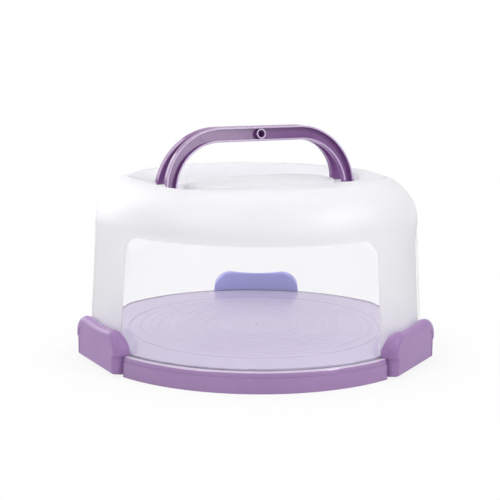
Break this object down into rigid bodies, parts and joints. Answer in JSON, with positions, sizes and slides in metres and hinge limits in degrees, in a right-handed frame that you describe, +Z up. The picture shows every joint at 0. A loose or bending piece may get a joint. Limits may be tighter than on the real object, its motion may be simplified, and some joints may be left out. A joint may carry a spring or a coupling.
{
  "type": "cake carrier",
  "caption": "Round cake carrier: grooved serving tray, tall domed cover with clear windows, fold-down twin bail handle and hinged edge latches.",
  "frame": {"origin": "centre of the tray's underside, on the surface that the carrier stands on", "axes": "+Z up through the dome and the handle, -Y towards the front of the carrier, +X to its right"},
  "size_m": [0.3012, 0.302, 0.1914],
  "materials": {
    "tray_plastic": "semi-gloss",
    "cover_plastic": "frosted, with clear windows"
  },
  "bodies": {
    "base": {"base_tray": "tray_plastic"},
    "cover": {"dome_cover": "cover_plastic"},
    "front_bail": {"handle_front": "tray_plastic"},
    "rear_bail": {"handle_rear": "tray_plastic"},
    "front_left_latch": {"latch_front_left": "tray_plastic"},
    "front_right_latch": {"latch_front_right": "tray_plastic"},
    "rear_latch": {"latch_rear": "tray_plastic"}
  },
  "joints": [
    {"name": "cover_lift", "type": "slide", "parent": "base", "child": "cover", "axis": [0, 0, 1], "range_m": [0, 0.18]},
    {"name": "handle_front_fold", "type": "hinge", "parent": "cover", "child": "front_bail", "pos_m": [0.00446, -0.00839, 0.1436], "axis": [0.8829, 0.4695, 0], "range_deg": [0, 97.3]},
    {"name": "handle_rear_fold", "type": "hinge", "parent": "cover", "child": "rear_bail", "pos_m": [-0.00446, 0.00839, 0.1436], "axis": [-0.8829, -0.4695, 0], "range_deg": [0, 97.3]},
    {"name": "latch_front_left_swing", "type": "hinge", "parent": "base", "child": "front_left_latch", "pos_m": [-0.12635, -0.07295, 0.0085], "axis": [0.5, -0.866, 0], "range_deg": [0, 90]},
    {"name": "latch_front_right_swing", "type": "hinge", "parent": "base", "child": "front_right_latch", "pos_m": [0.12635, -0.07295, 0.0085], "axis": [0.5, 0.866, 0], "range_deg": [0, 90]},
    {"name": "latch_rear_swing", "type": "hinge", "parent": "base", "child": "rear_latch", "pos_m": [0, 0.1459, 0.0085], "axis": [-1, 0, 0], "range_deg": [0, 90]}
  ]
}
